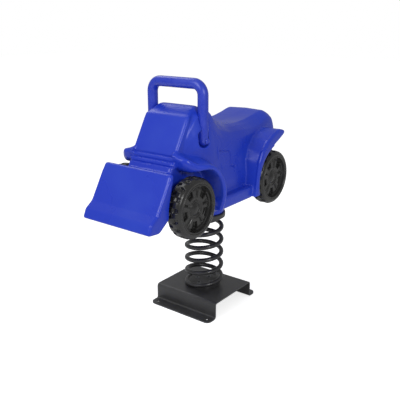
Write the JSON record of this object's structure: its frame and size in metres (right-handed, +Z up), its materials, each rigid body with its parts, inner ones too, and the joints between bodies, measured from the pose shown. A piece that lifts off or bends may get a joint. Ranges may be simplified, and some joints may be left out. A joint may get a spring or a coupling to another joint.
{
  "type": "spring rider",
  "caption": "Playground spring rider shaped as a small wheel loader: moulded body, handle, blade and turning wheels on a coil spring and a bolt-down steel base.",
  "frame": {"origin": "on the ground under the spring's axis, at the centre of the four anchor holes", "axes": "+Z up; the front with the blade faces -Y; +X is the rider's left side"},
  "size_m": [0.372, 0.805, 0.869],
  "materials": {
    "steel_grey_paint": "satin powder coat",
    "spring_paint": "semi-gloss powder coat",
    "zinc_plate": "zinc plated",
    "body_plastic": "rotationally moulded polyethylene, fine grain",
    "handle_paint": "satin powder coat",
    "wheel_plastic": "moulded, satin",
    "bush_plastic": "plain bearing polymer"
  },
  "bodies": {
    "base": {"base_frame": "steel_grey_paint", "lower_clamp": "steel_grey_paint", "lower_clamp_bolts": "zinc_plate", "lower_clamp_nuts": "zinc_plate"},
    "spring": {"coil_spring": "spring_paint"},
    "rider": {"upper_cup": "steel_grey_paint", "upper_clamp": "steel_grey_paint", "upper_clamp_bolts": "zinc_plate", "body_inserts": "zinc_plate", "body_shell": "body_plastic", "handle_bar": "handle_paint", "handle_bolts": "handle_paint", "front_axle": "zinc_plate", "rear_axle": "zinc_plate", "axle_spacers": "zinc_plate", "axle_nuts": "zinc_plate"},
    "front_left_wheel_set": {"front_left_wheel": "wheel_plastic", "front_left_bush": "bush_plastic", "front_left_cap": "wheel_plastic"},
    "front_right_wheel_set": {"front_right_wheel": "wheel_plastic", "front_right_bush": "bush_plastic", "front_right_cap": "wheel_plastic"},
    "rear_left_wheel_set": {"rear_left_wheel": "wheel_plastic", "rear_left_bush": "bush_plastic", "rear_left_cap": "wheel_plastic"},
    "rear_right_wheel_set": {"rear_right_wheel": "wheel_plastic", "rear_right_bush": "bush_plastic", "rear_right_cap": "wheel_plastic"}
  },
  "joints": [
    {"name": "rock_fore_aft", "type": "hinge", "parent": "base", "child": "spring", "pos_m": [0, 0, 0.154], "axis": [1, 0, 0], "range_deg": [-20, 20], "stiffness_Nm_per_rad": 1100, "deforming": ["coil_spring"]},
    {"name": "rock_sideways", "type": "hinge", "parent": "spring", "child": "rider", "pos_m": [0, 0, 0.228], "axis": [0, 1, 0], "range_deg": [-14, 14], "stiffness_Nm_per_rad": 1100},
    {"name": "front_left_wheel_spin", "type": "hinge", "parent": "rider", "child": "front_left_wheel_set", "pos_m": [0.1475, -0.263, 0.472], "axis": [1, 0, 0], "continuous": true},
    {"name": "front_right_wheel_spin", "type": "hinge", "parent": "rider", "child": "front_right_wheel_set", "pos_m": [-0.1475, -0.263, 0.472], "axis": [1, 0, 0], "continuous": true},
    {"name": "rear_left_wheel_spin", "type": "hinge", "parent": "rider", "child": "rear_left_wheel_set", "pos_m": [0.1475, 0.219, 0.472], "axis": [1, 0, 0], "continuous": true},
    {"name": "rear_right_wheel_spin", "type": "hinge", "parent": "rider", "child": "rear_right_wheel_set", "pos_m": [-0.1475, 0.219, 0.472], "axis": [1, 0, 0], "continuous": true}
  ]
}
